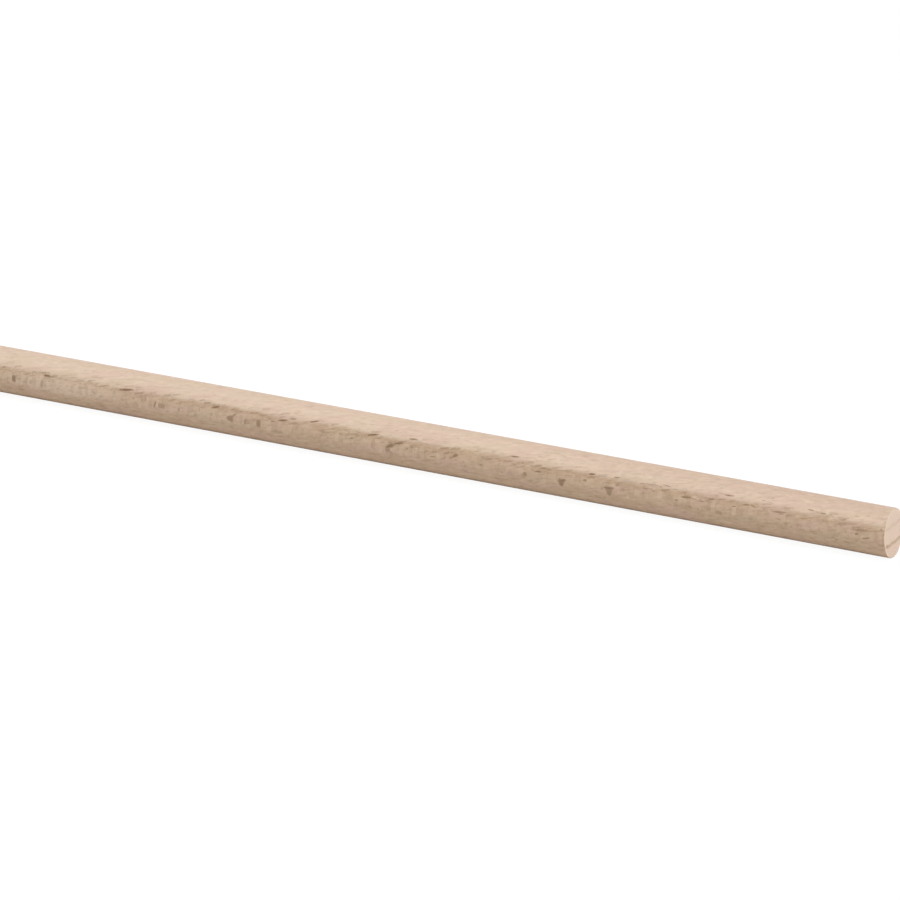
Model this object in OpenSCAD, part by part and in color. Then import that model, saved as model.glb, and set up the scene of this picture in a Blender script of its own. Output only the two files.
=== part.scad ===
// Wooden dowel rod: a straight round stick of solid hardwood, sawn off at both ends.
// Millimetres, +Z up. The rod lies along X with its axis through the origin and the
// origin at the middle of its length. The +X end was sawn a few degrees out of square
// by hand, and the -X end was sawn square. Handling has worn both sharp edges.

/* [Rod] */
// Diameter of the round stick
rod_d = 10; // [3:0.5:40]
// Overall length, measured along the rod's longest line
rod_len = 300; // [50:5:1200]

/* [Sawn ends] */
// How far the cut at the +X end is out of square, in degrees
cut_skew = 3.4; // [0:0.1:12]
// Side on which that cut leaves the rod longest: degrees from straight down towards -Y
cut_turn = 25; // [0:1:359]
// Radius of the worn edge round each end
arris_r = 0.15; // [0.05:0.01:0.6]

/* [Hidden] */

wood_tint = [0.86, 0.76, 0.66];
rod_r = rod_d / 2;
round_fn = 96;

// The stick is this much longer at each end before it is sawn
saw_allowance = rod_d;
// How far the waste of a cut reaches past the side of the stick
waste_margin = rod_d / 5;
// The worn edge runs out into the side of the rod at this angle
run_out = 20;
// Steps of the worn edge's curve
arris_steps = 4;

// Middle of each cut, along the rod's axis
near_cut_x = rod_len / 2 - (rod_r - arris_r) * sin(cut_skew);
far_cut_x = -rod_len / 2;

// Points of the worn edge, from the sawn face round to where it runs out
function arris_points() = [
    for (i = [0 : arris_steps])
        let (t = 90 - i * (90 - run_out) / arris_steps)
        [rod_r - arris_r + arris_r * cos(t), arris_r * (sin(t) - 1)]
];

// The round stick as it comes from the mill, before it is cut to length
module milled_stick() {
    rotate([0, 90, 0])
        cylinder(h = rod_len + 2 * saw_allowance, d = rod_d, center = true, $fn = round_fn);
}

// What one cut takes away: the offcut above Z = 0, and the edge worn off below it
module sawn_off() {
    worn = arris_points();
    last = worn[arris_steps];
    outer_r = rod_r + waste_margin;
    top_z = 2 * saw_allowance;
    rotate_extrude($fn = round_fn)
        polygon(concat(
            [[0, 0]],
            worn,
            [[outer_r, last[1] - (outer_r - last[0]) / tan(run_out)]],
            [[outer_r, top_z], [0, top_z]]
        ));
}

// Sets a cut across the rod's +X side, skewed from square and turned about the axis
module across_rod(x, skew = 0, turn = 0) {
    translate([x, 0, 0])
        rotate([-turn, 0, 0])
            rotate([0, 90 - skew, 0])
                children();
}

// The finished rod
module rod() {
    color(wood_tint)
        difference() {
            milled_stick();
            across_rod(near_cut_x, cut_skew, cut_turn)
                sawn_off();
            mirror([1, 0, 0])
                across_rod(-far_cut_x)
                    sawn_off();
        }
}

rod();
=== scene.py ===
"""Looks of a plain beech dowel rod: its milled round side, its two sawn ends, and the studio.

The rod lies along X with its axis on the origin. Lengths named *_mm are millimetres, angles
are degrees, and everything else is metres. "Elevation" is an angle round the rod's axis: 0
looks along -Y, to the side that faces the camera, 90 is straight up and -90 straight down.
"""

import logging
import math
from dataclasses import dataclass, field
from enum import Enum

import bpy
import numpy as np
from mathutils import Matrix, Vector


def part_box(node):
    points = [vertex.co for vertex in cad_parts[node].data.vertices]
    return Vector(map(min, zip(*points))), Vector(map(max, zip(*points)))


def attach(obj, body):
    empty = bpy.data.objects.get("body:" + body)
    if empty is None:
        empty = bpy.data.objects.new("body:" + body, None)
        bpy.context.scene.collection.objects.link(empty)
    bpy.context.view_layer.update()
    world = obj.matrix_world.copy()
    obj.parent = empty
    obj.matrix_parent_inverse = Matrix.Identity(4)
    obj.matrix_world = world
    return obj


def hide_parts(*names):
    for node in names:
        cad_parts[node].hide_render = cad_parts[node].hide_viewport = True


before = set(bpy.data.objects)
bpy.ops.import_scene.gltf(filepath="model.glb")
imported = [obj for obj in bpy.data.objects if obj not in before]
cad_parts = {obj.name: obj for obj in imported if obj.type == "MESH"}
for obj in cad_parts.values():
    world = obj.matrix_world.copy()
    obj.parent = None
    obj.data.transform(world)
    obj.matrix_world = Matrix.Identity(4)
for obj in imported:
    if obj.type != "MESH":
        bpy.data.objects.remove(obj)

LOG = logging.getLogger("dowel_rod")
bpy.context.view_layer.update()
MM = 0.001
NODE = "rod"

Socket = bpy.types.NodeSocket
Triple = tuple[float, float, float]


# ---------------------------------------------------------------------------- node trees


@dataclass(frozen=True)
class Ramp:
    """A smooth step, from first at low to last at high. High may lie below low."""

    low: float
    high: float
    first: float = 0.0
    last: float = 1.0


class Graph:
    """Places and joins the nodes of one tree, for shaders and for geometry alike."""

    def __init__(self, tree: bpy.types.NodeTree) -> None:
        """Starts on an empty tree.

        Args:
            tree: the node tree to fill.
        """
        self.tree = tree

    def node(self, kind: str, settings: dict | None = None, **inputs: object) -> bpy.types.Node:
        """Adds a node.

        Args:
            kind: the node's type name.
            settings: attributes to set on the node itself.
            inputs: values or sockets by input name, with _ for a space.

        Returns:
            The new node.
        """
        made = self.tree.nodes.new(kind)
        for name, value in (settings or {}).items():
            setattr(made, name, value)
        for name, value in inputs.items():
            self.put(made.inputs[name.replace("_", " ")], value)
        return made

    def put(self, target: Socket, value: object) -> None:
        """Links a socket into target, or sets a plain value there."""
        if isinstance(value, Socket):
            self.tree.links.new(value, target)
        else:
            target.default_value = value

    def math(self, operation: str, *values: object, clamp: bool = False) -> Socket:
        """Returns a Math node's result for up to three numbers."""
        made = self.node("ShaderNodeMath", {"operation": operation, "use_clamp": clamp})
        for place, value in enumerate(values):
            self.put(made.inputs[place], value)
        return made.outputs[0]

    def times(self, first: object, second: object) -> Socket:
        """Returns first times second."""
        return self.math("MULTIPLY", first, second)

    def plus(self, first: object, second: object) -> Socket:
        """Returns first plus second."""
        return self.math("ADD", first, second)

    def minus(self, first: object, second: object) -> Socket:
        """Returns first less second."""
        return self.math("SUBTRACT", first, second)

    def vector(self, operation: str, *values: object) -> Socket:
        """Returns a Vector Math node's result, which is a number for LENGTH."""
        made = self.node("ShaderNodeVectorMath", {"operation": operation})
        for place, value in enumerate(values):
            self.put(made.inputs[place], value)
        return made.outputs["Value" if operation == "LENGTH" else "Vector"]

    def xyz(self, x: object, y: object, z: object) -> Socket:
        """Returns a vector made of three numbers."""
        return self.node("ShaderNodeCombineXYZ", X=x, Y=y, Z=z).outputs[0]

    def split(self, value: Socket) -> tuple[Socket, Socket, Socket]:
        """Returns a vector's three parts."""
        made = self.node("ShaderNodeSeparateXYZ", Vector=value)
        return made.outputs[0], made.outputs[1], made.outputs[2]

    def fade(self, value: Socket, low: float, high: float, to: tuple = (0.0, 1.0)) -> Socket:
        """Returns a smooth step of value from to[0] at low to to[1] at high."""
        made = self.node("ShaderNodeMapRange", {"interpolation_type": "SMOOTHSTEP"})
        for place, number in enumerate((value, low, high, to[0], to[1])):
            self.put(made.inputs[place], number)
        return made.outputs[0]

    def ramp(self, value: Socket, ramp: Ramp) -> Socket:
        """Returns the height of a ramp at value."""
        return self.fade(value, ramp.low, ramp.high, (ramp.first, ramp.last))

    def noise(self, where: Socket, detail: float = 2.0, roughness: float = 0.5) -> Socket:
        """Returns smooth noise from 0 to 1 round 0.5, with one wave in each unit.

        Args:
            where: the point.
            detail: octaves of finer noise.
            roughness: how strong those octaves are.
        """
        return self.node("ShaderNodeTexNoise", Vector=where, Scale=1.0, Detail=detail,
                         Roughness=roughness).outputs[0]

    def mix(self, share: object, first: object, second: object) -> Socket:
        """Returns a colour mixed from two, by share from 0 to 1."""
        made = self.node("ShaderNodeMix", {"data_type": "RGBA"})
        for place, value in ((0, share), (6, first), (7, second)):
            self.put(made.inputs[place], value)
        return made.outputs[2]

    def group(self, tree: bpy.types.NodeTree, **inputs: object) -> bpy.types.Node:
        """Adds a node group with its inputs set by name."""
        kind = "GeometryNodeGroup" if tree.type == "GEOMETRY" else "ShaderNodeGroup"
        return self.node(kind, {"node_tree": tree}, **inputs)


def open_group(name: str, kind: str, inputs: dict[str, object],
               outputs: dict[str, str]) -> tuple[Graph, bpy.types.NodeOutputs, bpy.types.Node]:
    """Starts a node group with named sockets.

    Args:
        name: the group's name.
        kind: the tree's type name.
        inputs: default value, or a socket type's name, for each input.
        outputs: socket type's name for each output.

    Returns:
        The graph, the sockets that bring the inputs in, and the output node.
    """
    tree = bpy.data.node_groups.new(name, kind)
    for label, value in inputs.items():
        if isinstance(value, str):
            tree.interface.new_socket(label, in_out="INPUT", socket_type=value)
        else:
            socket = tree.interface.new_socket(label, in_out="INPUT",
                                               socket_type="NodeSocketFloat")
            socket.default_value = value
    for label, socket_type in outputs.items():
        tree.interface.new_socket(label, in_out="OUTPUT", socket_type=socket_type)
    graph = Graph(tree)
    return graph, graph.node("NodeGroupInput").outputs, graph.node("NodeGroupOutput")


# ------------------------------------------------------------------------------ the wood


@dataclass(frozen=True)
class Log:
    """How the log's growth rings crossed this rod, in millimetres."""

    pith_y: float = 0.2
    pith_z: float = 45.0
    ring_radius: float = 43.3
    ring_width: float = 3.6
    wander: float = 0.22
    ripple: float = 0.24
    grain_lean: tuple[float, float] = (0.12, 0.17)
    chip: tuple[float, float] = (-3.5, -1.6)


class Shade(Enum):
    """Colours of bare sanded beech, as linear red, green and blue, with painted sheen in the two
    inner colours and a painted highlight in the rim colour.
    """

    # The two inner colours, for the wood above the first latewood line, are paler and greyer than the
    # ground: partly the paler inner wood, partly painted sheen of the overhead lamp on the top of the
    # rod
    INNER_AND_SHEEN = (0.639, 0.487, 0.368)
    ROSY_AND_SHEEN = (0.586, 0.429, 0.324)
    GROUND = (0.640, 0.453, 0.310)
    SOFT = (0.480, 0.332, 0.206)
    LATE = (0.340, 0.215, 0.120)
    RAY_DARK = (0.262, 0.156, 0.083)
    RAY_LIGHT = (0.755, 0.582, 0.438)
    BLUSH = (0.642, 0.448, 0.350)
    STRAW = (0.612, 0.467, 0.310)
    SAWN = (0.664, 0.511, 0.400)
    # Rim of the cut faces: torn fibre fuzz, and a painted highlight where the worn arris catches the
    # light
    FUZZ_AND_HIGHLIGHT = (0.700, 0.560, 0.430)

    @property
    def rgba(self) -> tuple[float, float, float, float]:
        """The colour with full alpha."""
        return (*self.value, 1.0)


class FleckShape(Enum):
    """How a ray fleck ends where the surface cuts it."""

    LENS = "lens"
    BLOCK = "block"
    WEDGE = "wedge"


@dataclass(frozen=True)
class Fleck:
    """One ray, or one torn fibre, where the round side cuts it. In the pale table, some are instead
    painted highlights on the lips of torn pits.

    Args:
        along: place along the rod in mm from its middle.
        elevation: angle round the rod in degrees, 0 at the front and 90 on top.
        length: size along its own line in mm.
        width: size across that line in mm.
        tilt: how far its line leans from the rod's, in degrees.
        strength: how far it stands out, from 0 to 1.
        shape: how it ends. A wedge is widest at the end its line runs to.
    """

    along: float
    elevation: float
    length: float
    width: float
    tilt: float
    strength: float
    shape: FleckShape = FleckShape.LENS


def fleck_table(*rows: tuple) -> tuple[Fleck, ...]:
    """Returns the flecks whose fields are given row by row."""
    return tuple(Fleck(*row) for row in rows)


BLOCK = FleckShape.BLOCK
WEDGE = FleckShape.WEDGE

# Placed on the front of the rod, from the far end to the near one
DARK_FLECKS = fleck_table(
    (-57, 38, 2.0, 0.2, 4, 0.30), (-57, -26, 1.6, 0.4, 4, 0.30),
    (-55.5, 3, 0.8, 0.3, -5, 0.30), (-54.2, 4, 1.0, 1.6, 0, 0.80, BLOCK),
    (-51.4, 25, 4.7, 0.3, 1, 0.30), (-51, 4, 1.9, 0.5, 81, 0.30, BLOCK),
    (-50.8, 54, 2.0, 0.15, 11, 0.35), (-49.8, 3, 1.0, 0.8, 85, 0.30, BLOCK),
    (-47.4, 31, 1.9, 0.3, 7, 0.45), (-46.9, 4, 1.9, 0.8, 80, 0.45, BLOCK),
    (-45.8, 26, 2.2, 0.6, 0, 1.0), (-45.9, -15, 2.2, 0.3, 10, 0.25),
    (-44, 30, 1.2, 0.3, -2, 0.35), (-44.1, 14, 0.7, 0.5, 0, 0.40),
    (-41, 24, 1.3, 0.3, 6, 0.50), (-39.1, 34, 2.1, 0.3, 10, 0.40),
    (-37.9, 26, 4.4, 0.35, 8, 0.30), (-36.8, 49, 2.4, 0.25, 9, 0.25),
    (-34.6, 35, 2.3, 0.22, 10, 0.55), (-34.3, -2, 0.8, 0.3, 90, 0.30),
    (-31.4, 26, 3.3, 0.4, 15, 0.40), (-25.7, 27, 3.9, 0.65, 8, 1.0),
    (-25.2, -19, 2.0, 0.35, 7, 0.25), (-23.5, 10, 0.7, 0.4, 0, 0.40),
    (-21.3, 10, 0.8, 0.35, 63, 0.50), (-20.5, 13, 1.0, 0.4, 86, 0.45, BLOCK),
    (-18.1, 4, 1.5, 0.45, 73, 0.65, BLOCK), (-17.1, 5, 1.0, 0.4, 95, 0.60),
    (-16.4, 4, 1.7, 1.2, 0, 0.50, BLOCK), (-13.7, 36, 1.2, 0.22, 9, 0.50),
    (-12.1, 2, 0.9, 0.5, 88, 0.40, BLOCK), (-10.4, 24, 2.4, 0.45, 8, 0.25),
    (-9.5, 2, 1.2, 0.6, 5, 0.25), (-7, 12, 1.0, 0.3, 90, 0.40),
    (-6.8, 36, 1.4, 0.25, 15, 0.65), (-6.9, 26, 1.1, 0.22, 13, 0.35),
    (-3.1, 25, 2.4, 0.55, 15, 0.95), (-3, -13, 2.5, 0.35, 5, 0.35),
    (-1.2, 29, 1.8, 0.3, 5, 0.50), (-0.8, -16, 2.0, 0.25, -18, 0.20),
    (0.6, 4, 1.7, 1.7, 0, 0.67, WEDGE), (1.5, 13, 1.6, 0.6, 42, 0.60),
    (4.4, 3, 1.3, 0.6, 82, 0.55, BLOCK), (6.4, -4, 0.5, 0.3, 0, 0.30),
    (7.6, 5, 1.1, 1.7, 0, 0.70, BLOCK), (9.5, 15, 1.2, 0.22, 4, 0.40),
    (9.5, 67, 1.7, 0.2, 4, 0.20), (11, 16, 1.2, 0.3, 13, 0.70),
    (13.4, 23, 2.3, 0.5, 10, 1.0), (15.8, 31, 1.9, 0.35, 8, 0.75),
    (15.9, 2, 1.3, 0.35, 90, 0.30), (20.8, 34, 2.4, 0.4, 14, 0.95),
    (21.7, 2, 1.0, 0.25, -70, 0.35), (22.7, 15, 1.5, 0.35, 2, 0.45),
    (24.5, 1, 0.8, 0.25, -63, 0.40), (25.2, 9, 0.7, 0.25, 8, 0.35),
    (26.3, 30, 1.5, 0.22, 5, 0.35), (27.4, 16, 1.1, 0.3, 12, 0.50),
    (30.2, 11, 1.4, 0.4, 19, 0.60), (31.5, 28, 1.5, 0.3, -13, 0.40),
    (31.8, 52, 1.9, 0.18, 5, 0.30), (32, 10, 1.5, 0.3, 18, 0.35),
    (33.8, 53, 1.7, 0.15, 2, 0.35), (35, 28, 2.9, 0.5, 13, 1.0),
    (35, 3, 1.2, 0.35, 90, 0.35, BLOCK), (37.1, 29, 1.4, 0.22, -14, 0.45),
    (37.5, 15, 1.0, 0.3, 5, 0.40), (37.7, 67, 1.5, 0.2, 11, 0.25),
    (38.8, 1, 1.6, 1.2, 90, 0.55, BLOCK), (39.4, 10, 2.6, 1.0, 24, 0.86),
    (39.4, -7, 1.7, 0.5, -12, 0.40), (40, 49, 1.2, 0.5, 5, 0.22),
    (40.8, -10, 1.6, 0.3, -20, 0.30), (41.2, 19, 2.7, 0.6, 14, 0.90),
    (43.3, 10, 0.8, 0.45, 12, 0.55), (43.8, -21, 2.6, 0.2, 7, 0.25),
    (44.4, 35, 2.4, 0.42, 5, 0.82), (45.1, 11, 0.7, 0.3, 80, 0.35),
    (46.3, 31, 1.4, 0.2, -8, 0.40), (47, 9, 1.8, 0.28, 7, 0.30),
    (49.4, 2, 1.9, 0.3, 7, 0.55), (50, 17, 0.5, 0.3, -45, 0.40),
    (51.3, 43, 1.0, 0.15, 7, 0.40), (52.5, 16, 1.5, 0.45, 13, 0.55),
    (54.6, 15, 1.6, 0.8, 24, 0.80), (53.8, 9, 1.6, 0.6, 30, 0.50), (54.1, 57, 0.9, 0.18, 7, 0.45),
    (54.8, 5, 0.6, 0.25, 0, 0.50), (56.2, 28, 1.4, 0.22, 11, 0.35),
    (56.3, 56, 1.6, 0.15, 6, 0.30), (56.5, 4, 0.8, 0.35, -18, 0.30),
    (56.5, -20, 2.0, 0.28, 8, 0.35), (57.9, 52, 1.1, 0.2, 6, 0.35),
    (58.7, 4, 1.4, 1.1, 0, 0.20, BLOCK), (59.2, 34, 1.9, 0.22, 9, 0.35),
    (60.6, 4, 0.8, 0.6, 30, 0.55), (61.1, 2, 0.8, 0.3, 85, 0.50),
    (61.2, 23, 2.3, 0.3, -7, 0.45), (62.4, 21, 2.4, 0.5, 15, 0.50),
    (64.3, 26, 1.7, 0.22, 22, 0.45), (65.6, 4, 1.8, 1.3, 0, 0.18, BLOCK),
    (67.2, 3, 0.5, 0.35, 0, 0.35), (68, 38, 2.5, 0.35, 3, 0.90),
    (69.2, 15, 1.7, 0.22, 8, 0.40), (70, 27, 0.7, 0.36, 0, 0.55),
    (70.8, 1, 0.9, 0.9, 0, 0.62, BLOCK), (70.8, 50, 1.4, 0.15, 9, 0.30),
    (72.4, 15, 1.0, 0.27, -13, 0.40), (73.8, 13, 1.9, 0.45, 5, 0.80),
    (73.4, -14, 1.0, 0.3, 8, 0.30), (73.7, 48, 2.1, 0.18, -17, 0.40),
    (74.8, 23, 1.8, 0.33, 7, 0.70), (76.1, 22, 1.0, 0.3, 8, 0.65),
    (76.6, 67, 1.8, 0.25, 5, 0.30), (78.4, 63, 1.8, 0.2, -17, 0.25),
    (79.2, 2, 2.2, 0.75, 16, 0.85), (79.1, -3, 1.7, 1.6, 90, 0.78, WEDGE),
    (79.2, 26, 3.5, 0.22, 11, 0.50), (81.9, 25, 1.6, 0.22, 14, 0.40),
    (83.8, 42, 1.7, 0.15, 4, 0.40), (84.4, 13, 0.8, 0.5, 0, 0.60, BLOCK),
    (85.7, 30, 1.9, 0.46, 7, 0.95), (85.5, -27, 1.4, 0.3, 7, 0.35),
    (87.1, 26, 1.1, 0.2, -38, 0.40), (89.8, 5, 2.5, 0.6, 3, 0.86),
    (89.9, -2, 2.1, 2.0, 90, 0.62, WEDGE), (91.3, 33, 1.4, 0.33, 4, 0.75),
    (91.6, 16, 0.8, 0.55, 5, 0.50, BLOCK), (94.1, 25, 3.6, 1.4, 0, 0.18, BLOCK),
    (93.8, 15, 1.7, 0.25, 7, 0.30), (93.4, -6, 2.6, 0.55, 11, 0.20),
    (97.2, 30, 0.5, 0.3, 0, 0.50), (97.4, 11, 0.9, 0.25, -76, 0.30),
    (97.9, 20, 1.2, 0.33, 10, 0.55), (99.2, 20, 1.7, 0.25, -18, 0.45),
    (99.4, 31, 2.9, 0.3, 4, 0.45), (99.8, 17, 0.7, 0.3, 15, 0.55),
    (99.9, 58, 2.0, 0.15, 5, 0.35), (101.1, 30, 0.6, 0.3, 10, 0.60),
    (101.5, -20, 1.3, 0.35, -8, 0.30), (102.3, 35, 2.3, 0.3, -6, 0.60),
    (104.4, 30, 1.8, 0.25, 2, 0.45), (104.9, 6, 0.8, 0.36, 13, 0.75),
    (105.1, 46, 3.2, 0.15, 12, 0.30), (107, 17, 2.5, 0.5, 4, 0.80),
    (108.8, 16, 1.2, 0.18, -7, 0.50), (109.7, -6, 0.5, 0.5, 0, 0.35),
    (110.3, 14, 1.9, 0.25, 0, 0.60), (112.3, 23, 2.0, 0.36, 0, 0.75),
    (114.2, 41, 1.7, 0.17, -5, 0.50), (114.4, 26, 2.3, 0.22, 14, 0.60),
    (114.2, -5, 1.6, 0.9, -5, 0.45, BLOCK), (115.9, 39, 2.3, 0.37, 3, 0.85),
    (117.4, 16, 1.1, 0.3, 10, 0.60), (119.9, 25, 1.8, 0.42, 9, 0.70),
    (121.4, 25, 1.4, 0.38, -20, 0.65), (122, 59, 1.5, 0.2, -4, 0.30),
    (123.4, 42, 0.9, 0.2, 6, 0.55), (124.8, 28, 1.2, 0.18, 5, 0.35),
    (124.9, 40, 2.2, 0.18, -9, 0.35), (125, 52, 0.8, 0.33, 7, 0.50),
    (125.1, -9, 2.6, 0.33, 9, 0.30), (127.1, 22, 3.4, 0.48, 5, 0.70),
    (127.1, 6, 1.5, 0.27, -7, 0.45), (127.8, 19, 1.1, 0.3, 10, 0.50),
    (129.1, -2, 0.7, 0.27, 50, 0.50), (129.6, 2, 0.9, 0.2, 10, 0.40),
    (132.4, 17, 1.7, 0.27, 8, 0.55), (133.6, 40, 1.7, 0.4, -6, 0.60),
    (135, 38, 1.1, 0.2, -8, 0.50), (135.1, -14, 1.3, 0.25, 14, 0.30),
    (136.3, 37, 1.6, 0.3, 3, 0.80), (138.2, 35, 1.6, 0.18, -14, 0.45),
    (138.8, -15, 1.0, 0.25, 12, 0.50), (139, 28, 1.3, 0.18, -13, 0.35),
    (139.6, -18, 0.75, 0.35, 0, 0.60), (140, 35, 1.7, 0.22, 8, 0.40),
    (141.6, 4, 0.5, 0.2, 0, 0.50), (141.7, -21, 1.6, 0.3, -15, 0.50),
    (143, 19, 0.8, 0.27, 10, 0.55), (143.4, 45, 1.4, 0.17, 9, 0.50),
    (143.8, 21, 4.1, 0.25, 9, 0.30), (143.9, 5, 0.8, 0.42, 14, 0.70, BLOCK),
    (145.5, 51, 1.1, 0.2, 11, 0.50), (146, -1, 1.6, 0.35, 14, 0.65, BLOCK),
    (146.9, 17, 1.7, 0.4, 10, 0.30), (148.2, -7, 0.5, 0.25, 0, 0.40), (149.5, 15, 0.5, 0.3, 70, 0.60),
    (148.7, 50, 1.5, 0.17, 8, 0.40), (148.9, 24, 0.6, 0.35, -68, 0.60),
)
# Pale rays, and pale lips beside many dark flecks: the lips are painted highlights on the lit edge of
# torn pits
PALE_FLECKS_AND_HIGHLIGHTS = fleck_table(
    (-55.5, 6, 0.7, 0.3, -30, 0.40), (-50.8, 56, 2.0, 0.12, 11, 0.40),
    (-48, 12, 2.8, 1.2, 88, 0.30, BLOCK), (-42, 6, 34, 4.6, 0, 0.75),
    (-39.1, 7, 1.5, 0.6, 88, 0.35, BLOCK), (-37, 6, 1.5, 1.6, 0, 0.25, BLOCK),
    (-36, 18, 0.5, 0.5, 0, 0.60), (-31.4, 8, 2.3, 1.3, 0, 0.25, BLOCK),
    (-31.3, 57, 0.6, 0.4, 0, 0.40), (-30, 36, 2.7, 0.2, 8, 0.40),
    (-21.6, 67, 3.6, 0.2, 6, 0.30), (-15.5, 69, 1.2, 0.12, 5, 0.30),
    (-7.6, 43, 0.9, 0.15, 2, 0.40), (-6.8, 31, 1.4, 0.18, 12, 0.60),
    (-4.5, 8, 2.2, 1.3, 0, 0.30, BLOCK), (-6, 6, 24, 4.2, 0, 0.25),
    (-2.1, 12, 0.5, 0.4, 0, 0.50),
    (-1.1, -3, 1.4, 0.25, 98, 0.50), (-0.3, -16, 1.6, 0.2, -18, 0.40),
    (3.8, 4, 1.0, 0.25, 90, 0.50), (5.1, 27, 0.6, 0.2, 10, 0.40),
    (9.5, 10, 0.6, 0.35, 20, 0.70), (18.8, 41, 2.6, 0.12, 9, 0.30),
    (22.7, 49, 1.0, 0.4, 0, 0.35), (25.4, 5, 0.6, 0.35, 0, 0.50),
    (25.5, 40, 2.5, 0.18, 9, 0.70), (26.3, 16, 0.5, 0.55, 0, 0.60),
    (30.4, 3, 0.6, 0.6, 0, 0.50), (30.9, 23, 0.8, 0.7, 0, 0.40),
    (38.3, 19, 0.5, 0.2, -50, 0.40), (40.8, 36, 1.0, 0.18, 12, 0.50),
    (44.2, -13, 1.9, 0.2, 10, 0.30), (48.1, 33, 0.8, 0.3, 12, 0.50),
    (50.3, 9, 0.4, 0.5, 0, 0.70), (51.3, 41, 1.0, 0.15, 8, 0.40),
    (55.2, -1, 0.4, 0.3, 0, 0.40), (57.4, 8, 0.4, 0.3, 0, 0.50),
    (60.9, 18, 0.7, 0.2, 10, 0.40), (64.8, 18, 1.7, 0.28, 16, 0.40),
    (66.4, 56, 1.6, 0.18, 4, 0.35), (68.4, 34, 1.2, 0.12, 11, 0.40),
    (72.9, 57, 1.8, 0.22, 4, 0.40), (73.9, 42, 1.8, 0.2, -5, 0.60),
    (76.9, 51, 4.2, 1.3, 3, 0.30), (77.7, -2, 0.7, 0.25, -65, 0.50),
    (78, 36, 0.7, 0.35, 90, 0.45), (80.7, 34, 1.0, 0.2, 13, 0.50),
    (91.8, 49, 0.5, 0.25, 10, 0.50), (94.1, 44, 1.2, 0.28, 0, 0.55),
    (95.8, 8, 1.8, 1.3, 0, 0.30, BLOCK), (98.1, 48, 1.6, 0.33, 0, 0.75),
    (98.5, 9, 0.5, 0.3, 10, 0.40), (100.4, 41, 0.6, 0.2, -35, 0.40),
    (101.7, 28, 2.9, 0.22, 9, 0.30), (105.9, 54, 1.1, 0.2, 10, 0.60),
    (106.1, 12, 2.8, 0.22, 2, 0.50), (110.8, 19, 0.5, 0.2, -15, 0.50),
    (112.6, 13, 1.4, 0.2, -17, 0.35), (117.1, 45, 1.2, 0.28, -16, 0.65),
    (126.8, 38, 1.0, 0.2, -5, 0.40), (130.1, 8, 0.4, 0.2, 45, 0.50),
    (132.1, 62, 1.3, 0.25, 7, 0.60), (137.3, 42, 2.1, 0.25, 3, 0.35),
    (139.5, -13, 1.1, 0.17, 0, 0.40), (143.5, 40, 1.7, 0.2, 7, 0.80),
    (149, 55, 0.9, 0.17, 5, 0.40), (149.7, 9, 0.4, 0.5, 0, 0.60),
)


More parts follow.
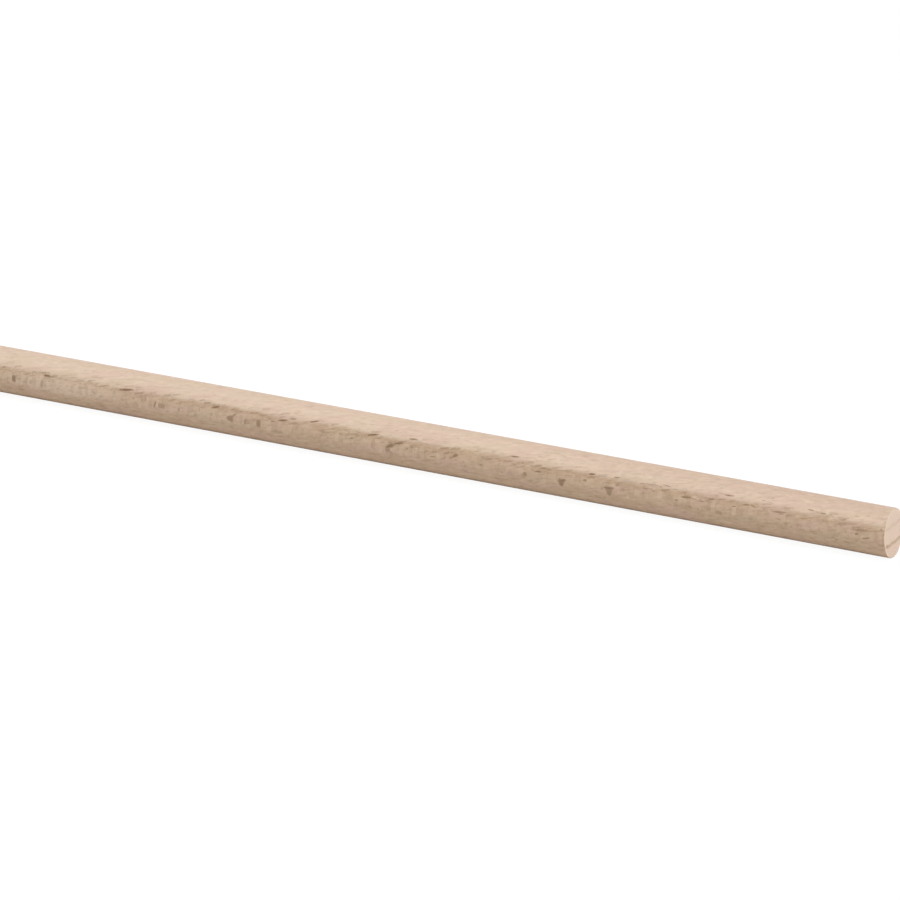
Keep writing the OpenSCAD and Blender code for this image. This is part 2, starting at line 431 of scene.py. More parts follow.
class WoodGroups:
    """The effects that the milled side and the sawn ends share."""

    def __init__(self) -> None:
        """Builds each group once."""
        self.rings = self.growth_rings()
        self.rays = self.ray_sheets()
        self.fibres = self.fibre_streaks()
        self.fleck = {shape: self.ray_fleck(shape) for shape in FleckShape}

    def growth_rings(self) -> bpy.types.NodeTree:
        """Returns the group for growth rings round a pith that lies outside the rod.

        Radial and Tangent are mm from the pith and round it, Count grows by one at each
        latewood line, and Line is 1 on those lines.
        """
        g, given, out = open_group(
            "growth rings", "ShaderNodeTree",
            {"Place": "NodeSocketVector", "Pith Y": 0.0, "Pith Z": 45.0, "First Ring": 43.0,
             "Ring Width": 3.6, "Wander": 0.2, "Ripple": 0.1, "Line Width": 0.4},
            {"Radial": "NodeSocketFloat", "Tangent": "NodeSocketFloat",
             "Count": "NodeSocketFloat", "Line": "NodeSocketFloat"})
        slow_x, slow_y = 0.05, 0.10
        quick_x, quick_y, quick_from = 0.30, 0.60, 7.0
        swing = 6.0
        x, y, z = g.split(given["Place"])
        side = g.minus(y, given["Pith Y"])
        down = g.minus(given["Pith Z"], z)
        far = g.vector("LENGTH", g.xyz(side, down, 0.0))
        slow = g.noise(g.xyz(g.times(x, slow_x), g.times(y, slow_y), 0.0))
        quick = g.noise(g.xyz(g.times(x, quick_x), g.times(y, quick_y), quick_from),
                        3.0, 0.6)
        drift = g.times(g.minus(slow, 0.5), g.times(given["Wander"], swing))
        jitter = g.times(g.minus(quick, 0.5), g.times(given["Ripple"], swing))
        radial = g.plus(far, g.plus(drift, jitter))
        count = g.math("DIVIDE", g.minus(radial, given["First Ring"]), given["Ring Width"])
        near = g.times(g.math("PINGPONG", count, 0.5), given["Ring Width"])
        g.put(out.inputs["Radial"], far)
        g.put(out.inputs["Tangent"], g.times(g.math("ARCTAN2", side, down), given["Pith Z"]))
        g.put(out.inputs["Count"], count)
        off_line = g.math("SMOOTH_MIN", g.math("DIVIDE", near, given["Line Width"]), 1.0, 0.5)
        g.put(out.inputs["Line"], g.minus(1.0, off_line))
        return g.tree

    def ray_sheets(self) -> bpy.types.NodeTree:
        """Returns the group for medullary rays, thin sheets that run out from the pith.

        Mask is 1 inside a ray, and Kind is a random number that is the same all over its
        part of the wood.
        """
        g, given, out = open_group(
            "ray sheets", "ShaderNodeTree",
            {"Along": 0.0, "Tangent": 0.0, "Radial": 0.0, "Height": 2.0, "Gap": 0.5,
             "Reach": 7.0, "Size": 0.34, "Softness": 0.1, "Ragged": 0.0},
            {"Mask": "NodeSocketFloat", "Kind": "NodeSocketFloat"})
        spread, scatter = Ramp(0.0, 1.0, 0.45, 1.25), 0.85
        where = g.xyz(*(g.math("DIVIDE", given[part], given[unit]) for part, unit in (
            ("Along", "Height"), ("Tangent", "Gap"), ("Radial", "Reach"))))
        cells = g.node("ShaderNodeTexVoronoi", {"feature": "F1", "distance": "CHEBYCHEV"},
                       Vector=where, Scale=1.0, Randomness=scatter)
        size, kind, _ = g.split(cells.outputs["Color"])
        gap = g.minus(g.times(given["Size"], g.ramp(size, spread)),
                      g.plus(cells.outputs["Distance"], given["Ragged"]))
        g.put(out.inputs["Mask"], g.math("DIVIDE", gap, given["Softness"], clamp=True))
        g.put(out.inputs["Kind"], kind)
        return g.tree

    def fibre_streaks(self) -> bpy.types.NodeTree:
        """Returns the group for fibres and pores, which lean a little from the rod's line."""
        g, given, out = open_group(
            "fibre streaks", "ShaderNodeTree",
            {"Place": "NodeSocketVector", "Length": 7.0, "Width": 0.5, "Lean Y": 0.0,
             "Lean Z": 0.0},
            {"Leaned": "NodeSocketVector", "Streak": "NodeSocketFloat",
             "Blotch": "NodeSocketFloat", "Pore": "NodeSocketFloat"})
        blotch_waves, pore_waves = (0.09, 0.4, 0.4), (0.9, 7.0, 7.0)
        pore_depth = Ramp(0.58, 0.72)
        x, y, z = g.split(given["Place"])
        across = g.minus(y, g.times(x, given["Lean Y"]))
        height = g.minus(z, g.times(x, given["Lean Z"]))
        leaned = g.xyz(x, across, height)
        streak = g.xyz(g.math("DIVIDE", x, given["Length"]),
                       g.math("DIVIDE", across, given["Width"]),
                       g.math("DIVIDE", height, given["Width"]))
        g.put(out.inputs["Leaned"], leaned)
        g.put(out.inputs["Streak"], g.noise(streak, 3.0, 0.6))
        blotch = g.vector("MULTIPLY", leaned, blotch_waves)
        g.put(out.inputs["Blotch"], g.noise(blotch))
        pore = g.noise(g.vector("MULTIPLY", leaned, pore_waves), 2.0, 0.7)
        g.put(out.inputs["Pore"], g.ramp(pore, pore_depth))
        return g.tree

    def ray_fleck(self, shape: FleckShape) -> bpy.types.NodeTree:
        """Returns the group for one ray fleck on the unrolled round side.

        Trail goes from fleck to fleck, so that they are worked out one after another: mm
        along the rod, mm round it, and the mask of all the flecks so far.

        Args:
            shape: how the fleck ends.

        Returns:
            A group that puts one fleck into the mask that Trail carries.
        """
        g, given, out = open_group(
            f"ray fleck {shape.value}", "ShaderNodeTree",
            {"Trail": "NodeSocketVector", "Ragged": 0.0, "Centre": "NodeSocketVector",
             "Turn": "NodeSocketVector", "Half Size": "NodeSocketVector", "Strength": 0.8},
            {"Trail": "NodeSocketVector"})
        wedge_middle, wedge_slope, wedge_least = 0.75, 0.35, 0.05
        outside, inside = (1.25, 0.45) if shape is FleckShape.LENS else (1.6, 0.25)
        along, arc, before = g.split(given["Trail"])
        own = g.node("ShaderNodeMapping", {"vector_type": "TEXTURE"}, Vector=given["Trail"],
                     Location=given["Centre"], Rotation=given["Turn"],
                     Scale=given["Half Size"]).outputs["Vector"]
        own = g.vector("MULTIPLY", own, (1.0, 1.0, 0.0))
        if shape is FleckShape.WEDGE:
            ahead, aside, _ = g.split(own)
            spread = g.math("MAXIMUM", g.plus(wedge_middle, g.times(ahead, wedge_slope)),
                            wedge_least)
            own = g.xyz(ahead, g.math("DIVIDE", aside, spread), 0.0)
        if shape is not FleckShape.LENS:
            own = g.vector("MULTIPLY", own, own)
        away = g.plus(g.vector("LENGTH", own), given["Ragged"])
        mask = g.fade(away, outside, inside, (0.0, given["Strength"]))
        g.put(out.inputs["Trail"], g.xyz(along, arc, g.math("MAXIMUM", mask, before)))
        return g.tree


@dataclass(frozen=True)
class RaySize:
    """One size of ray.

    Args:
        height: how far it runs along the rod, in mm.
        gap: how far it is from the next one round the pith, in mm.
        reach: how far it runs out from the pith, in mm.
        size: share of that space a ray fills.
        softness: share over which its edge fades.
    """

    height: float
    gap: float
    reach: float
    size: float = 0.4
    softness: float = 0.12


@dataclass(frozen=True)
class Tone:
    """How strongly one tone, dark or pale, shows in flakes, dashes, fibres and mottling.

    Flakes and dashes are picked by their random number, the others by their noise.
    """

    flake_kind: Ramp
    flake_share: float
    dash_kind: Ramp
    streak: Ramp
    mottle: Ramp


@dataclass(frozen=True)
class SideLook:
    """How the round side is drawn.

    Ramps named _x and _y run over mm along and across the rod, blush, straw and line_torn
    over a noise, and the others over the ring count, 0 at the first latewood line. Waves
    are counted in one mm along, across and up the rod.
    """

    line_mm: float = 0.30
    streak_mm: tuple[float, float] = (6.0, 0.5)
    torn_waves: Triple = (1.6, 3.6, 3.6)
    torn_fleck: float = 1.2
    torn_dash: float = 0.7
    mottle_waves: Triple = (0.55, 1.5, 1.5)
    flakes: RaySize = RaySize(0.9, 0.8, 1.9)
    dashes: RaySize = RaySize(2.4, 0.6, 0.62, 0.40, 0.16)
    front_x: Ramp = Ramp(-63.0, -57.0)
    front_y: Ramp = Ramp(-0.5, -2.5)
    front_share: float = 0.75
    quartered: tuple[float, float] = (0.62, 0.97)
    ring_start: Ramp = Ramp(-0.02, 0.12)
    ring_end: Ramp = Ramp(1.0, 0.65)
    outside_share: float = 0.15
    late_start: Ramp = Ramp(-0.75, -0.08, 0.10, 1.0)
    late_end: Ramp = Ramp(0.55, 0.05)
    early: Ramp = Ramp(0.40, 0.02, 0.0, 0.30)
    later: Ramp = Ramp(0.55, 0.90, 0.0, 0.34)
    later_end: Ramp = Ramp(1.40, 1.10)
    rosy_x: Ramp = Ramp(20.0, 150.0)
    # A lighter band along the upper shoulders of the rod, strongest about 35 to 40 degrees up:
    # painted light where the lamps leave the shoulders too dark
    painted_light_band: Ramp = Ramp(-0.78, -0.34, 0.0, 0.60)
    painted_light_band_end: Ramp = Ramp(-0.13, -0.27)
    inner_end: Ramp = Ramp(-0.20, -0.06)
    blush: Ramp = Ramp(0.50, 0.66, 0.0, 0.55)
    straw: Ramp = Ramp(0.46, 0.34, 0.0, 0.45)
    dark: Tone = Tone(Ramp(0.40, 0.0), 0.25, Ramp(0.60, 0.10, 0.0, 0.55),
                      Ramp(0.50, 0.78, 0.0, 0.17), Ramp(0.02, 0.22, 0.0, 0.27))
    pale: Tone = Tone(Ramp(0.60, 1.0), 0.30, Ramp(0.72, 1.0, 0.0, 0.45),
                      Ramp(0.46, 0.22, 0.0, 0.16), Ramp(-0.02, -0.22, 0.0, 0.38))
    line_end: Ramp = Ramp(0.8, 0.4)
    line_torn: Ramp = Ramp(-0.12, 0.12, 0.0, 0.28)
    mottle_start: Ramp = Ramp(-0.45, -0.10, 0.55, 1.0)
    pore_share: float = 0.05
    roughness: float = 0.49
    rough_streak: float = 0.12
    rough_fleck: float = 0.2
    relief: float = 0.3
    relief_mm: float = 0.06


@dataclass(frozen=True)
class EndLook:
    """How the sawn ends are drawn."""

    line_mm: float = 0.55
    streak_mm: tuple[float, float] = (3.0, 0.35)
    rays: RaySize = RaySize(2.0, 0.42, 9.0, 0.40, 0.2)
    ray_share: float = 0.15
    kerf_mm: float = 0.62
    kerf_lean: float = 0.35
    kerf_wave: float = 0.15
    streak: Ramp = Ramp(0.3, 0.8, 0.0, 0.30)
    line: Ramp = Ramp(0.25, 0.75, 0.25, 0.75)
    chip_waves: tuple[float, float] = (1.2, 2.2)
    chip: Ramp = Ramp(1.0, 0.3, 0.0, 0.6)
    rim_mm: tuple[float, float] = (0.9, 0.2)
    rim_share: float = 0.4
    roughness: float = 0.62
    rough_streak: float = 0.16
    sheen: float = 0.12
    relief: float = 0.3
    relief_mm: float = 0.04


@dataclass(frozen=True)
class BeechFinish:
    """Bare beech, sanded round and sawn across."""

    radius_mm: float
    log: Log = Log()
    side: SideLook = SideLook()
    ends: EndLook = EndLook()
    ior: float = 1.5
    bump: float = 0.6
    groups: WoodGroups = field(default_factory=WoodGroups)

    def start(self, name: str) -> tuple[bpy.types.Material, Graph, bpy.types.Node, Socket]:
        """Starts a material.

        Args:
            name: the material's name.

        Returns:
            The material, its graph, its shader and the place on the rod in millimetres.
        """
        material = bpy.data.materials.new(name)
        material.use_nodes = True
        g = Graph(material.node_tree)
        shader = g.tree.nodes["Principled BSDF"]
        shader.inputs["IOR"].default_value = self.ior
        coordinates = g.node("ShaderNodeTexCoord").outputs["Object"]
        return material, g, shader, g.vector("MULTIPLY", coordinates, (1 / MM,) * 3)

    def ring_node(self, g: Graph, place: Socket, line_mm: float) -> bpy.types.NodeOutputs:
        """Adds the growth rings of this rod's log, with latewood lines of this width."""
        log = self.log
        return g.group(self.groups.rings, Place=place, Pith_Y=log.pith_y, Pith_Z=log.pith_z,
                       First_Ring=log.ring_radius, Ring_Width=log.ring_width,
                       Wander=log.wander, Ripple=log.ripple, Line_Width=line_mm).outputs

    def ray_node(self, g: Graph, place: tuple[object, object, object], rays: RaySize,
                 ragged: object = 0.0) -> bpy.types.NodeOutputs:
        """Adds one size of ray.

        Args:
            g: the material's graph.
            place: mm along the rod, round the pith and out from it.
            rays: their size.
            ragged: noise round 0 for an uneven outline.
        """
        along, tangent, radial = place
        return g.group(self.groups.rays, Along=along, Tangent=tangent, Radial=radial,
                       Height=rays.height, Gap=rays.gap, Reach=rays.reach, Size=rays.size,
                       Softness=rays.softness, Ragged=ragged).outputs

    def fibre_node(self, g: Graph, place: Socket, length: float,
                   width: float) -> bpy.types.NodeOutputs:
        """Adds fibre streaks of this length and width in mm."""
        lean_y, lean_z = self.log.grain_lean
        return g.group(self.groups.fibres, Place=place, Length=length, Width=width,
                       Lean_Y=lean_y, Lean_Z=lean_z).outputs

    def flecks(self, g: Graph, unrolled: Socket, ragged: Socket,
               rows: tuple[Fleck, ...]) -> Socket:
        """Adds every fleck of one table, each over the last.

        Args:
            g: the material's graph.
            unrolled: the place on the round side, mm along the rod and round it.
            ragged: noise round 0 for uneven outlines.
            rows: the flecks.

        Returns:
            The mask of them all.
        """
        trail = unrolled
        for row in rows:
            arc = math.radians(row.elevation) * self.radius_mm
            trail = g.group(
                self.groups.fleck[row.shape], Trail=trail, Ragged=ragged,
                Centre=(row.along, arc, 0.0), Turn=(0.0, 0.0, math.radians(row.tilt)),
                Half_Size=(row.length / 2, row.width / 2, 1.0),
                Strength=row.strength).outputs["Trail"]
        return g.split(trail)[2]

    def milled(self) -> bpy.types.Material:
        """Returns the finish of the round side."""
        look = self.side
        material, g, shader, place = self.start("beech_milled")
        x, y, z = g.split(place)
        turn = g.math("ARCTAN2", z, g.times(y, -1.0))
        unrolled = g.xyz(x, g.times(turn, self.radius_mm), 0.0)
        rings = self.ring_node(g, place, look.line_mm)
        count = rings["Count"]
        grain = self.fibre_node(g, place, *look.streak_mm)
        _, lean_y, lean_z = g.split(grain["Leaned"])
        waves = g.vector("MULTIPLY", place, look.torn_waves)
        ragged = g.minus(g.noise(waves, 3.0, 0.65), 0.5)
        waves = g.vector("MULTIPLY", grain["Leaned"], look.mottle_waves)
        mottle = g.minus(g.noise(waves, 2.0, 0.55), 0.5)
        torn = g.times(ragged, look.torn_fleck)
        dark_flecks = self.flecks(g, unrolled, torn, DARK_FLECKS)
        # The pale table holds painted highlights on the lips of torn pits as well as pale rays
        pale_flecks_and_highlights = self.flecks(g, unrolled, torn, PALE_FLECKS_AND_HIGHLIGHTS)

        # The grain that no table places is fainter on the front, where the flecks are
        front = g.times(g.ramp(y, look.front_y), g.ramp(x, look.front_x))
        scattered = g.fade(front, 0.0, 1.0, (1.0, look.front_share))
        # Rays lie flat in the surface on the two sides, and on edge at the top and bottom
        low, high = (share * self.radius_mm for share in look.quartered)
        quartered = g.fade(g.math("ABSOLUTE", y), low, high)
        between = g.times(g.ramp(count, look.ring_start), g.ramp(count, look.ring_end))
        shown = g.fade(between, 0.0, 1.0, (look.outside_share, 1.0))
        figure = g.times(scattered, g.times(quartered, shown))
        late = g.times(scattered, g.times(g.ramp(count, look.late_start),
                                          g.ramp(count, look.late_end)))
        flakes = self.ray_node(g, (x, rings["Tangent"], rings["Radial"]), look.flakes)
        dashes = self.ray_node(g, (x, lean_y, lean_z), look.dashes,
                               g.times(ragged, look.torn_dash))

        def marks(tone: Tone) -> Socket:
            """Returns how strongly the flakes, dashes and fibres of one tone show."""
            flake = g.times(g.ramp(flakes["Kind"], tone.flake_kind),
                            g.times(figure, tone.flake_share))
            dash = g.times(dashes["Mask"],
                           g.times(late, g.ramp(dashes["Kind"], tone.dash_kind)))
            both = g.plus(flake, dash)
            return g.plus(both, g.ramp(grain["Streak"], tone.streak))

        early = g.ramp(count, look.early)
        later = g.times(g.ramp(count, look.later), g.ramp(count, look.later_end))
        colour = g.mix(g.math("MAXIMUM", early, later), Shade.GROUND.rgba, Shade.SOFT.rgba)
        # On the top of the rod the inner colours hold painted sheen as well as the paler inner wood;
        # they turn darker and pinker toward the near end
        inner = g.mix(g.ramp(x, look.rosy_x), Shade.INNER_AND_SHEEN.rgba, Shade.ROSY_AND_SHEEN.rgba)
        # Painted light: a band on the upper shoulders is mixed toward the pale ray colour to brighten
        # it
        painted_light_band = g.times(g.ramp(count, look.painted_light_band), g.ramp(count, look.painted_light_band_end))
        colour = g.mix(g.ramp(count, look.inner_end), inner, colour)
        colour = g.mix(painted_light_band, colour, Shade.RAY_LIGHT.rgba)
        colour = g.mix(g.ramp(grain["Blotch"], look.blush), colour, Shade.BLUSH.rgba)
        colour = g.mix(g.ramp(grain["Blotch"], look.straw), colour, Shade.STRAW.rgba)
        dark = marks(look.dark)
        line = g.times(rings["Line"], g.ramp(count, look.line_end))
        dark = g.plus(dark, g.times(line, g.ramp(ragged, look.line_torn)))
        dark = g.plus(dark, g.times(g.ramp(count, look.mottle_start),
                                    g.ramp(mottle, look.dark.mottle)))
        dark = g.plus(dark, g.times(grain["Pore"], look.pore_share))
        dark = g.math("MAXIMUM", dark, dark_flecks)
        light = g.plus(marks(look.pale), g.ramp(mottle, look.pale.mottle))
        light = g.math("MAXIMUM", light, pale_flecks_and_highlights)
        colour = g.mix(light, colour, Shade.RAY_LIGHT.rgba)
        g.put(shader.inputs["Base Color"], g.mix(dark, colour, Shade.RAY_DARK.rgba))
        rough = g.plus(look.roughness, g.times(grain["Streak"], look.rough_streak))
        g.put(shader.inputs["Roughness"], g.plus(rough, g.times(dark_flecks, look.rough_fleck)))
        self.relief(g, shader, g.times(grain["Streak"], look.relief), look.relief_mm)
        return material

    def relief(self, g: Graph, shader: bpy.types.Node, height: Socket, depth: float) -> None:
        """Gives a surface fine relief.

        Args:
            g: the material's graph.
            shader: its Principled shader.
            height: the relief, with 1 as its full depth.
            depth: that depth in mm.
        """
        bump = g.node("ShaderNodeBump", Strength=self.bump, Distance=depth * MM,
                      Height=height)
        g.put(shader.inputs["Normal"], bump.outputs["Normal"])

    def sawn(self) -> bpy.types.Material:
        """Returns the finish of the two cut ends."""
        look = self.ends
        material, g, shader, place = self.start("beech_sawn")
        _, y, z = g.split(place)
        rings = self.ring_node(g, place, look.line_mm)
        rays = self.ray_node(g, (0.0, rings["Tangent"], rings["Radial"]), look.rays)
        fibres = self.fibre_node(g, place, *look.streak_mm)
        streak = fibres["Streak"]
        across = g.plus(g.times(y, look.kerf_lean), g.plus(z, g.times(streak, look.kerf_wave)))
        kerf = g.math("SINE", g.times(across, 2 * math.pi / look.kerf_mm))
        colour = g.mix(g.ramp(streak, look.streak), Shade.SAWN.rgba, Shade.SOFT.rgba)
        colour = g.mix(g.times(rays["Mask"], look.ray_share), colour, Shade.RAY_LIGHT.rgba)
        line = g.times(rings["Line"], g.ramp(rings["Count"], look.line))
        colour = g.mix(line, colour, Shade.LATE.rgba)
        chip_y, chip_z = self.log.chip
        waves_y, waves_z = look.chip_waves
        chip = g.vector("LENGTH", g.xyz(g.times(g.minus(y, chip_y), waves_y),
                                        g.times(g.minus(z, chip_z), waves_z), 0.0))
        colour = g.mix(g.ramp(chip, look.chip), colour, Shade.LATE.rgba)
        # The rim of each cut face is lighter: partly fibre fuzz, partly a painted highlight on the
        # worn arris
        rim = g.vector("LENGTH", g.xyz(y, z, 0.0))
        low, high = (self.radius_mm - inset for inset in look.rim_mm)
        colour = g.mix(g.fade(rim, low, high, (0.0, look.rim_share)), colour,
                       Shade.FUZZ_AND_HIGHLIGHT.rgba)
        g.put(shader.inputs["Base Color"], colour)
        g.put(shader.inputs["Roughness"],
              g.plus(look.roughness, g.times(streak, look.rough_streak)))
        shader.inputs["Sheen Weight"].default_value = look.sheen
        height = g.minus(g.times(kerf, look.relief), g.plus(fibres["Pore"], rings["Line"]))
        self.relief(g, shader, height, look.relief_mm)
        return material


# ------------------------------------------------------------------------------- the rod


@dataclass
class DowelRod:
    """The one piece: a round stick with a skewed cut at +X and a square one at -X."""

    low: Vector
    high: Vector
    cut_skew: float = 3.4
    cut_turn: float = 25.0
    arris_mm: float = 0.15
    sides: int = 128
    lengths: int = 600
    face_rings: int = 44
    arris_steps: int = 6
    arris_waves: float = 2.2
    arris_wear: Ramp = Ramp(0.35, 0.70, 0.55, 1.5)
    relief_mm: float = 0.02
    mill_waves: tuple[float, float] = (45.0, 1.3)
    seed: int = 5
    seed_step: float = 3.7
    end_step: float = 9.0

    @property
    def radius(self) -> float:
        """Radius in metres, from the frame."""
        return (self.high.z - self.low.z) / 2

    @property
    def half(self) -> float:
        """Half the length in metres, from the frame."""
        return (self.high.x - self.low.x) / 2

    def shape_tree(self) -> bpy.types.NodeTree:
        """Returns the Geometry Nodes tree that turns a plain cylinder into the rod.

        Every vertex is placed by how many steps it lies from the rim of its end: below zero
        on the sawn face, up to arris_steps either way on the worn edge, and past that along
        the round side.
        """
        g, given, out = open_group(
            "rod shape", "GeometryNodeTree",
            {"Radius": self.radius, "Half Length": self.half, "Arris": self.arris_mm * MM,
             "Skew": 0.0, "Turn": 0.0, "Relief": self.relief_mm * MM, "Seed": 0.0,
             "Milled": "NodeSocketMaterial", "Sawn": "NodeSocketMaterial"},
            {"Geometry": "NodeSocketGeometry"})
        blank = g.node("GeometryNodeMeshCylinder", {"fill_type": "TRIANGLE_FAN"},
                       Vertices=self.sides, Side_Segments=self.lengths,
                       Fill_Segments=self.face_rings, Radius=1.0, Depth=2.0)
        px, py, pz = g.split(g.node("GeometryNodeInputPosition").outputs[0])
        reach = g.math("MINIMUM", g.math("SQRT", g.plus(g.times(px, px), g.times(py, py))), 1.0)
        along = g.times(g.minus(1.0, g.math("ABSOLUTE", pz)), self.lengths / 2)
        inward = g.times(g.minus(1.0, reach), float(self.face_rings))
        step = g.minus(along, inward)
        turn = g.math("ARCTAN2", py, px)
        cos, sin = g.math("COSINE", turn), g.math("SINE", turn)
        end = g.math("SIGN", pz)

        # The worn edge is wider in some places than in others
        seeded = g.plus(g.times(given["Seed"], self.seed_step), g.times(end, self.end_step))
        rim = g.xyz(g.times(cos, self.arris_waves), g.times(sin, self.arris_waves), seeded)
        arris = g.times(given["Arris"], g.ramp(g.noise(rim, 3.0, 0.6), self.arris_wear))
        width = float(self.arris_steps)
        bend = g.times(g.math("DIVIDE", g.plus(step, width), 2 * width, clamp=True),
                       math.pi / 2)
        inner = g.minus(given["Radius"], arris)
        share = g.math("DIVIDE", g.plus(step, float(self.face_rings)),
                       self.face_rings - width, clamp=True)
        radius = g.plus(g.times(inner, share), g.times(arris, g.math("SINE", bend)))
        sunk = g.times(arris, g.minus(1.0, g.math("COSINE", bend)))
        back = g.math("DIVIDE", g.minus(step, width), self.lengths / 2 - width, clamp=True)

        # Where each generator line of the rod ends: a tilted plane at +X, a square one at -X
        near = g.math("GREATER_THAN", end, 0.0)
        lean = g.times(near, g.math("TANGENT", given["Skew"]))
        tilt_y = g.times(g.math("SINE", given["Turn"]), cos)
        tilt_z = g.times(g.math("COSINE", given["Turn"]), sin)
        longer = g.times(g.times(lean, radius), g.times(g.plus(tilt_y, tilt_z), -1.0))
        middle = g.minus(given["Half Length"], g.times(given["Radius"], lean))
        face = g.minus(g.plus(middle, longer), sunk)
        x = g.times(g.times(face, end), g.minus(1.0, back))

        # Shallow waves left by the mill, and always inside the true round
        waves_x, waves_round = self.mill_waves
        place = g.xyz(g.times(x, waves_x), g.times(cos, waves_round),
                      g.plus(g.times(sin, waves_round), given["Seed"]))
        worn = g.times(given["Relief"], g.noise(place, 3.0))
        round_side = g.fade(step, 0.0, width)
        radius = g.minus(radius, g.times(worn, round_side))
        moved = g.xyz(x, g.times(radius, cos), g.times(radius, sin))
        shaped = g.node("GeometryNodeSetPosition", Geometry=blank.outputs["Mesh"],
                        Position=moved)
        smooth = g.node("GeometryNodeSetShadeSmooth", Geometry=shaped.outputs[0],
                        Shade_Smooth=True)
        single = g.node("GeometryNodeRealizeInstances", Geometry=smooth.outputs[0])
        milled = g.node("GeometryNodeSetMaterial", Geometry=single.outputs[0],
                        Material=given["Milled"])
        cut = g.math("MAXIMUM", blank.outputs["Top"], blank.outputs["Bottom"])
        sawn = g.node("GeometryNodeSetMaterial", Geometry=milled.outputs[0],
                      Selection=cut, Material=given["Sawn"])
        g.put(out.inputs["Geometry"], sawn.outputs[0])
        return g.tree

    def build(self, finish: BeechFinish) -> bpy.types.Object:
        """Returns the finished rod as a plain mesh.

        Args:
            finish: what the round side and the ends look like.
        """
        tree = self.shape_tree()
        carrier = bpy.data.objects.new("rod_maker", bpy.data.meshes.new("rod_maker"))
        bpy.context.scene.collection.objects.link(carrier)
        maker = carrier.modifiers.new("rod shape", "NODES")
        maker.node_group = tree
        sizes = {"Skew": math.radians(self.cut_skew), "Turn": math.radians(self.cut_turn),
                 "Seed": float(self.seed), "Milled": finish.milled(), "Sawn": finish.sawn()}
        for item in tree.interface.items_tree:
            if item.in_out == "INPUT" and item.name in sizes:
                maker[item.identifier] = sizes[item.name]
        shown = carrier.evaluated_get(bpy.context.evaluated_depsgraph_get())
        mesh = bpy.data.meshes.new_from_object(shown)
        bpy.data.objects.remove(carrier)
        mesh.name = "dowel_rod"
        rod = bpy.data.objects.new("dowel_rod", mesh)
        bpy.context.scene.collection.objects.link(rod)
        self.lay_out_map(mesh)
        return rod

    def lay_out_map(self, mesh: bpy.types.Mesh) -> None:
        """Unrolls the rod onto one square map: three lengths side by side, then both ends.

        Args:
            mesh: the finished mesh, which gets a map named OFBake.
        """
        strips, gap = 3, 1.0 * MM
        strip = 2 * self.half / strips
        girth = 2 * math.pi * self.radius
        side = max(strip + 2 * gap, strips * (girth + gap) + 2 * self.radius + 2 * gap)
        corner_vertex = np.empty(len(mesh.loops), np.int32)
        mesh.loops.foreach_get("vertex_index", corner_vertex)
        places = np.empty(len(mesh.vertices) * 3, np.float32)
        mesh.vertices.foreach_get("co", places)
        corner = places.reshape(-1, 3)[corner_vertex].astype(float)
        count = np.empty(len(mesh.polygons), np.int32)
        mesh.polygons.foreach_get("loop_total", count)
        slot = np.empty(len(mesh.polygons), np.int32)
        mesh.polygons.foreach_get("material_index", slot)
        first = np.concatenate([[0], np.cumsum(count)[:-1]])
        face = np.repeat(np.arange(len(count)), count)
        middle = np.add.reduceat(corner, first) / count[:, None]

        turn = np.arctan2(corner[:, 2], corner[:, 1])
        facing = np.arctan2(middle[:, 2], middle[:, 1])[face]
        turn = facing + (turn - facing + math.pi) % (2 * math.pi) - math.pi
        reach = np.hypot(corner[:, 1], corner[:, 2])
        run = corner[:, 0] + np.sign(corner[:, 0]) * np.maximum(self.radius - reach, 0)
        part = np.clip((middle[face, 0] + self.half) // strip, 0, strips - 1)
        across = gap + run + self.half - part * strip
        up = gap + part * (girth + gap) + (turn + math.pi) * self.radius
        sawn = slot[face] > 0
        near = middle[face, 0] > 0
        disc = gap + self.radius + near * (2 * self.radius + gap)
        top = 2 * gap + strips * (girth + gap) + self.radius
        across = np.where(sawn, disc + corner[:, 1], across)
        up = np.where(sawn, top + corner[:, 2], up)
        layer = mesh.uv_layers.new(name="OFBake")
        flat = np.stack([across, up], 1) / side
        layer.uv.foreach_set("vector", flat.astype(np.float32).ravel())


# ---------------------------------------------------------------------------- the studio


@dataclass(frozen=True)
class Lamp:
    """One soft rectangular lamp, aimed at the rod.

    Args:
        name: what it is called.
        place: where it stands, in metres.
        size: its width and depth, in metres.
        watts: its power.
        aim: the point it faces.
    """

    name: str
    place: Triple
    size: tuple[float, float]
    watts: float
    aim: Triple = (0.0, 0.0, 0.0)

    def put_up(self) -> None:
        """Adds the lamp to the scene."""
        light = bpy.data.lights.new(self.name, "AREA")
        light.shape = "RECTANGLE"
        light.size, light.size_y = self.size
        light.energy = self.watts
        lamp = bpy.data.objects.new(self.name, light)
        bpy.context.scene.collection.objects.link(lamp)
        lamp.location = self.place
        lamp.rotation_euler = (Vector(self.aim) - Vector(self.place)).to_track_quat(
            "-Z", "Y").to_euler()


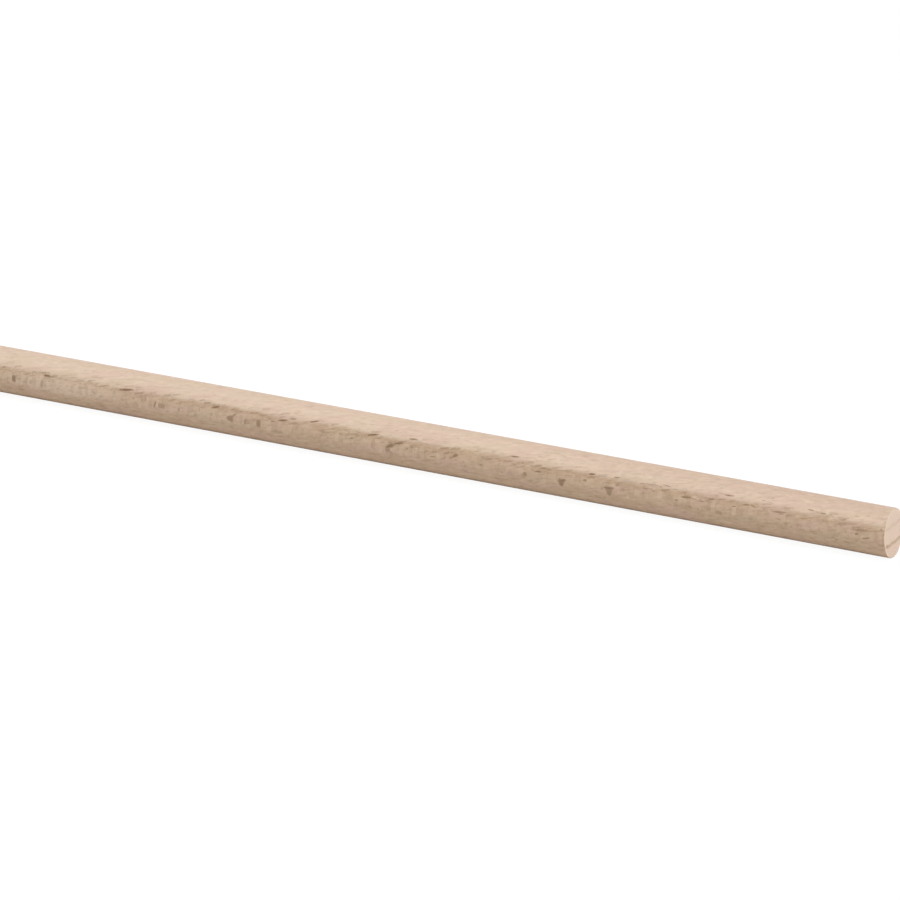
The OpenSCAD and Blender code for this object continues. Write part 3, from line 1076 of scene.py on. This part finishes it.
@dataclass
class Studio:
    """A white sweep with soft lamps round the rod."""

    floor_z: float
    reach: float = 6.0
    ambient: float = 0.18
    grey: float = 0.80
    seen_grey: float = 0.10
    seen_glow: float = 0.94
    lamps: tuple[Lamp, ...] = (
        Lamp("overhead_box", (-0.34, -0.12, 1.0), (1.5, 1.15), 11.8, (-0.34, -0.12, 0.0)),
        Lamp("right_box", (1.2, -0.15, 0.45), (1.1, 0.85), 10.3),
    )

    def build(self) -> None:
        """Sets up the floor, the white surround and the lamps."""
        self.floor()
        self.surround()
        for lamp in self.lamps:
            lamp.put_up()
            LOG.info("lamp %s: %.1f W", lamp.name, lamp.watts)

    def floor(self) -> None:
        """Adds the white floor. It looks white to the camera but keeps a faint shadow."""
        mesh = bpy.data.meshes.new("floor")
        corners = ((-1, -1), (1, -1), (1, 1), (-1, 1))
        mesh.from_pydata([(x * self.reach, y * self.reach, self.floor_z) for x, y in corners],
                         [], [(0, 1, 2, 3)])
        floor = bpy.data.objects.new("floor", mesh)
        bpy.context.scene.collection.objects.link(floor)
        material = bpy.data.materials.new("white_sweep")
        material.use_nodes = True
        g = Graph(material.node_tree)
        g.tree.nodes.remove(g.tree.nodes["Principled BSDF"])
        plain = g.node("ShaderNodeBsdfDiffuse", Color=(*(self.grey,) * 3, 1.0))
        dim = g.node("ShaderNodeBsdfDiffuse", Color=(*(self.seen_grey,) * 3, 1.0))
        glow = g.node("ShaderNodeEmission", Color=(1.0, 1.0, 1.0, 1.0),
                      Strength=self.seen_glow)
        seen = g.node("ShaderNodeAddShader")
        g.tree.links.new(dim.outputs[0], seen.inputs[0])
        g.tree.links.new(glow.outputs[0], seen.inputs[1])
        path = g.node("ShaderNodeLightPath").outputs
        choose = g.node("ShaderNodeMixShader", Fac=path["Is Camera Ray"])
        g.tree.links.new(plain.outputs[0], choose.inputs[1])
        g.tree.links.new(seen.outputs[0], choose.inputs[2])
        g.tree.links.new(choose.outputs[0], g.tree.nodes["Material Output"].inputs["Surface"])
        mesh.materials.append(material)

    def surround(self) -> None:
        """Makes the world white to the camera, and a plain soft light otherwise."""
        world = bpy.data.worlds.new("surround")
        bpy.context.scene.world = world
        world.use_nodes = True
        g = Graph(world.node_tree)
        path = g.node("ShaderNodeLightPath").outputs
        seen = g.math("MAXIMUM", path["Is Camera Ray"],
                      g.math("MAXIMUM", path["Is Glossy Ray"], path["Is Transmission Ray"]))
        strength = g.plus(self.ambient, g.times(seen, 1.0 - self.ambient))
        background = g.tree.nodes["Background"]
        background.inputs["Color"].default_value = (1.0, 1.0, 1.0, 1.0)
        g.put(background.inputs["Strength"], strength)


@dataclass(frozen=True)
class ViewPoint:
    """The camera, set so that the near cut sits at a chosen pixel of a square picture."""

    azimuth: float = 28.49
    elevation: float = 19.81
    focal_px: float = 4161.0
    picture_px: float = 900.0
    cut_px: tuple[float, float] = (893.8, 533.1)
    cut_distance: float = 0.8154
    sensor_mm: float = 36.0
    clip: tuple[float, float] = (0.01, 50.0)

    def place(self, cut: Vector) -> None:
        """Adds the camera.

        Args:
            cut: the middle of the near cut, in metres.
        """
        turn, rise = math.radians(self.azimuth), math.radians(self.elevation)
        back = Vector((math.sin(turn) * math.cos(rise), -math.cos(turn) * math.cos(rise),
                       math.sin(rise)))
        right = Vector((math.cos(turn), math.sin(turn), 0.0))
        up = back.cross(right)
        offset = [(p - self.picture_px / 2) / self.focal_px * self.cut_distance
                  for p in self.cut_px]
        data = bpy.data.cameras.new("camera")
        data.sensor_width = self.sensor_mm
        data.lens = self.focal_px / self.picture_px * self.sensor_mm
        data.clip_start, data.clip_end = self.clip
        camera = bpy.data.objects.new("camera", data)
        bpy.context.scene.collection.objects.link(camera)
        spot = cut + back * self.cut_distance - right * offset[0] + up * offset[1]
        turned = Matrix((right, up, back)).transposed().to_4x4()
        camera.matrix_world = Matrix.Translation(spot) @ turned
        bpy.context.scene.camera = camera


# ------------------------------------------------------------------------------ the scene


def main() -> None:
    """Builds the rod, then the studio and the camera, and logs the rod's size and each lamp's power.
    """
    logging.basicConfig(level=logging.INFO, format="%(name)s: %(message)s")
    bpy.context.scene.view_settings.view_transform = "Standard"
    low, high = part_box(NODE)
    maker = DowelRod(low, high)
    rod = maker.build(BeechFinish(maker.radius / MM))
    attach(rod, "root")
    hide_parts(NODE)
    LOG.info("rod: %d vertices, %d faces", len(rod.data.vertices), len(rod.data.polygons))

    Studio(floor_z=low.z).build()
    lean = maker.radius * math.sin(math.radians(maker.cut_skew))
    ViewPoint().place(Vector((high.x - lean, 0.0, 0.0)))


if __name__ == "__main__":
    main()
